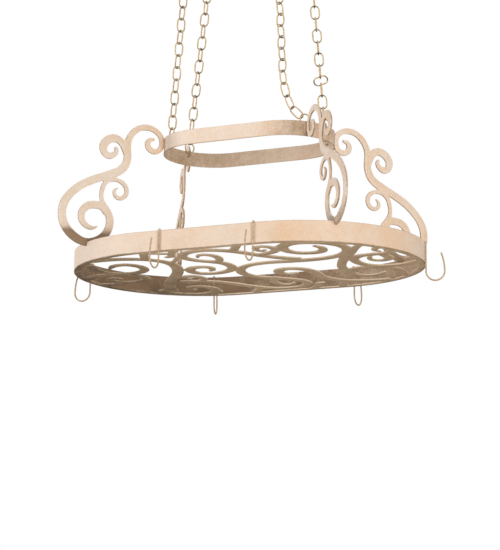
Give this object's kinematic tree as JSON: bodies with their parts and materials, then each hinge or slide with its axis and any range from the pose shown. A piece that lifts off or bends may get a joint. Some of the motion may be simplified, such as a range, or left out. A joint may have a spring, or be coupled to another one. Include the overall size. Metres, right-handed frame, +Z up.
{
  "type": "hanging pot rack",
  "caption": "Oval hanging pot rack in cream-painted iron: scrolled grid floor, small upper oval on scrolled brackets, chains to ceiling hooks and loose wire pot hooks on the rim.",
  "frame": {"origin": "on the ceiling face, above the middle of the lower oval", "axes": "+X along the long way of the ovals, to the end that is nearer in the picture; +Y to the far side; +Z up"},
  "size_m": [1.0067, 0.7098, 0.908],
  "materials": {
    "band_paint": "satin, sponged cream and tan",
    "grid_paint": "satin, sponged tan",
    "scroll_paint": "satin, sponged cream and tan",
    "eye_paint": "satin",
    "chain_paint": "satin, antiqued",
    "ceiling_hook_paint": "satin, antiqued",
    "pot_hook_paint": "satin, antiqued"
  },
  "bodies": {
    "ceiling": {"ceiling_hook_near_left": "ceiling_hook_paint", "ceiling_hook_near_right": "ceiling_hook_paint", "ceiling_hook_far_left": "ceiling_hook_paint", "ceiling_hook_far_right": "ceiling_hook_paint"},
    "hanger_near_left": {"chain_near_left": "chain_paint", "connector_near_left": "chain_paint"},
    "hanger_near_right": {"chain_near_right": "chain_paint", "connector_near_right": "chain_paint"},
    "hanger_far_left": {"chain_far_left": "chain_paint", "connector_far_left": "chain_paint"},
    "hanger_far_right": {"chain_far_right": "chain_paint", "connector_far_right": "chain_paint"},
    "rack": {"lower_oval": "band_paint", "grid_plate": "grid_paint", "upper_oval": "band_paint", "bracket_near_left": "scroll_paint", "bracket_near_right": "scroll_paint", "bracket_far_left": "scroll_paint", "bracket_far_right": "scroll_paint", "eye_near_left": "eye_paint", "eye_near_right": "eye_paint", "eye_far_left": "eye_paint", "eye_far_right": "eye_paint"},
    "hook_near_left": {"pot_hook_near_left": "pot_hook_paint"},
    "hook_near_right": {"pot_hook_near_right": "pot_hook_paint"},
    "hook_far_left": {"pot_hook_far_left": "pot_hook_paint"},
    "hook_far_right": {"pot_hook_far_right": "pot_hook_paint"},
    "hook_left_end": {"pot_hook_left_end": "pot_hook_paint"},
    "hook_right_end": {"pot_hook_right_end": "pot_hook_paint"}
  },
  "joints": [
    {"name": "swing_near_left", "type": "hinge", "parent": "ceiling", "child": "hanger_near_left", "pos_m": [-0.14367, -0.08879, -0.04509], "axis": [1, 0, 0], "range_deg": [-8, 8]},
    {"name": "swing_near_right", "type": "hinge", "parent": "ceiling", "child": "hanger_near_right", "pos_m": [0.11222, -0.07755, -0.04506], "axis": [1, 0, 0], "range_deg": [-8, 8]},
    {"name": "swing_far_left", "type": "hinge", "parent": "ceiling", "child": "hanger_far_left", "pos_m": [-0.15156, 0.06312, -0.0465], "axis": [1, 0, 0], "range_deg": [-8.03, 8.03]},
    {"name": "swing_far_right", "type": "hinge", "parent": "ceiling", "child": "hanger_far_right", "pos_m": [0.14089, 0.08879, -0.05915], "axis": [1, 0, 0], "range_deg": [-8.27, 8.27]},
    {"name": "rack_level", "type": "hinge", "parent": "hanger_near_left", "child": "rack", "pos_m": [-0.176, -0.08878, -0.4835], "axis": [1, 0, 0], "range_deg": [-8, 8]},
    {"name": "slide_near_left", "type": "slide", "parent": "rack", "child": "hook_near_left", "axis": [1, 0, 0], "range_m": [-0.05, 0.1]},
    {"name": "slide_near_right", "type": "slide", "parent": "rack", "child": "hook_near_right", "axis": [1, 0, 0], "range_m": [-0.1, 0]},
    {"name": "slide_far_left", "type": "hinge", "parent": "rack", "child": "hook_far_left", "pos_m": [-0.152, 0, -0.78], "axis": [0, 0, 1], "range_deg": [-13, 15]},
    {"name": "slide_far_right", "type": "hinge", "parent": "rack", "child": "hook_far_right", "pos_m": [0.152, 0, -0.78], "axis": [0, 0, 1], "range_deg": [-28, 4]},
    {"name": "slide_left_end", "type": "hinge", "parent": "rack", "child": "hook_left_end", "pos_m": [-0.152, 0, -0.78], "axis": [0, 0, 1], "range_deg": [-45, 45]},
    {"name": "slide_right_end", "type": "hinge", "parent": "rack", "child": "hook_right_end", "pos_m": [0.152, 0, -0.78], "axis": [0, 0, 1], "range_deg": [-45, 38]}
  ],
  "couplings": [
    {"joint": "swing_near_right", "follows": "swing_near_left", "ratio": 0.99992},
    {"joint": "swing_far_left", "follows": "swing_near_left", "ratio": 1.0032},
    {"joint": "swing_far_right", "follows": "swing_near_left", "ratio": 1.0331},
    {"joint": "rack_level", "follows": "swing_near_left", "ratio": -1}
  ]
}
